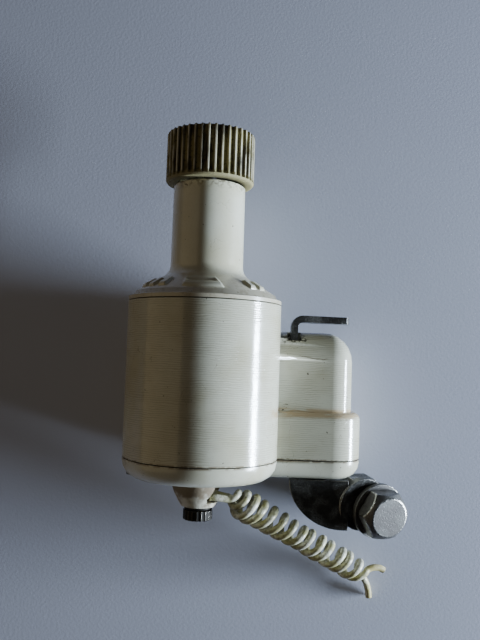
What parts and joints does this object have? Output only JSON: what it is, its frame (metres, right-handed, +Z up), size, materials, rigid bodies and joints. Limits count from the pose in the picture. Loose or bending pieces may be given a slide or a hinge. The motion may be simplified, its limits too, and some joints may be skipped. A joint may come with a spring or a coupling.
{
  "type": "bicycle bottle dynamo",
  "caption": "Bicycle bottle dynamo lying on its back: off-white barrel, fluted drive roller on a long neck, sprung bracket with clamp bolt, release lever and a short curly twin lead.",
  "frame": {"origin": "middle of the underside of the dynamo's bounding box, its lead left out, on the table it lies on", "axes": "+Y along the rotor axis towards the drive roller, +X from the barrel to the spring housing and bracket, +Z up from the table"},
  "size_m": [0.0828, 0.1378, 0.044],
  "materials": {
    "cream": "aged off-white plastic, fine ridges, semi-gloss",
    "collar": "off-white plastic, dirty",
    "roller": "tarnished olive-brown metal",
    "dark_steel": "dark, worn steel",
    "zinc": "dull zinc plate",
    "spring_steel": "oiled steel",
    "black_nut": "blackened metal",
    "brass": "plain brass",
    "bronze": "sintered bronze",
    "ferrite": "dark grey ceramic magnet",
    "bobbin": "black moulded plastic",
    "copper": "enamelled copper wire",
    "felt": "oiled felt",
    "lead_pvc": "off-white flexible PVC"
  },
  "bodies": {
    "housing": {"base_cover": "cream", "cover_screw_1": "dark_steel", "cover_screw_2": "dark_steel", "cover_screw_3": "dark_steel", "barrel_housing": "cream", "neck_housing": "cream", "upper_bearing": "bronze", "lower_bearing": "bronze", "dust_seal": "felt", "stator_lower_plate": "dark_steel", "stator_upper_plate": "dark_steel", "stator_sleeve": "dark_steel", "coil_bobbin": "bobbin", "coil_winding": "copper", "contact_strip": "brass", "terminal_inner_nut": "brass", "terminal_insulator": "bobbin", "terminal_stud": "brass", "terminal_collar": "collar", "lever_pin": "zinc", "pivot_spring": "spring_steel", "lead_core_a": "lead_pvc", "lead_core_b": "lead_pvc", "lead_coil": "lead_pvc", "lead_tail_a": "lead_pvc", "lead_tail_b": "lead_pvc"},
    "rotor": {"rotor_shaft": "spring_steel", "magnet_hub": "bobbin", "magnet_ring": "ferrite", "thrust_washer": "bronze", "shaft_circlip": "spring_steel", "drive_roller": "roller", "roller_washer": "zinc", "roller_nut": "zinc"},
    "bracket": {"mounting_bracket": "dark_steel", "pivot_spindle": "zinc", "pivot_washer": "zinc", "latch_disc": "zinc", "spindle_clip": "spring_steel", "clamp_washer": "zinc"},
    "clamp_bolt": {"clamp_bolt": "zinc"},
    "spring_washer": {"spring_washer": "dark_steel"},
    "clamp_nut": {"clamp_nut": "dark_steel"},
    "release_lever": {"release_lever": "dark_steel"},
    "terminal_washer": {"terminal_washer": "black_nut"},
    "terminal_nut": {"terminal_nut": "black_nut"}
  },
  "joints": [
    {"name": "rotor_spin", "type": "hinge", "parent": "housing", "child": "rotor", "pos_m": [-0.01937, 0.0492, 0.022], "axis": [0, 1, 0], "continuous": true},
    {"name": "bracket_swing", "type": "hinge", "parent": "housing", "child": "bracket", "pos_m": [0.01523, -0.0408, 0.0122], "axis": [0, 1, 0], "range_deg": [0, 20], "stiffness_Nm_per_rad": 0.8, "springref_deg": -28.65},
    {"name": "clamp_bolt_turn", "type": "hinge", "parent": "bracket", "child": "clamp_bolt", "pos_m": [0.03513, -0.0506, 0.023], "axis": [0.3603, -0.1301, 0.9237], "continuous": true},
    {"name": "spring_washer_slide", "type": "slide", "parent": "clamp_bolt", "child": "spring_washer", "axis": [0.3603, -0.1301, 0.9237], "range_m": [0, 0.000625]},
    {"name": "clamp_nut_turn", "type": "hinge", "parent": "spring_washer", "child": "clamp_nut", "pos_m": [0.02865, -0.04826, 0.00637], "axis": [0.3603, -0.1301, 0.9237], "range_deg": [0, 180]},
    {"name": "lever_press", "type": "hinge", "parent": "housing", "child": "release_lever", "pos_m": [0.00693, -0.0063, 0.0169], "axis": [0, 0, -1], "range_deg": [0, 6], "stiffness_Nm_per_rad": 0.3, "springref_deg": -5.73},
    {"name": "terminal_washer_slide", "type": "slide", "parent": "housing", "child": "terminal_washer", "axis": [0, -1, 0], "range_m": [0, 0.0014]},
    {"name": "terminal_nut_turn", "type": "hinge", "parent": "terminal_washer", "child": "terminal_nut", "pos_m": [-0.01937, -0.0518, 0.022], "axis": [0, -1, 0], "range_deg": [0, 720]}
  ],
  "couplings": [
    {"joint": "clamp_nut_turn", "follows": "spring_washer_slide", "rad_per_m": 5026},
    {"joint": "terminal_nut_turn", "follows": "terminal_washer_slide", "rad_per_m": 8975.1}
  ]
}
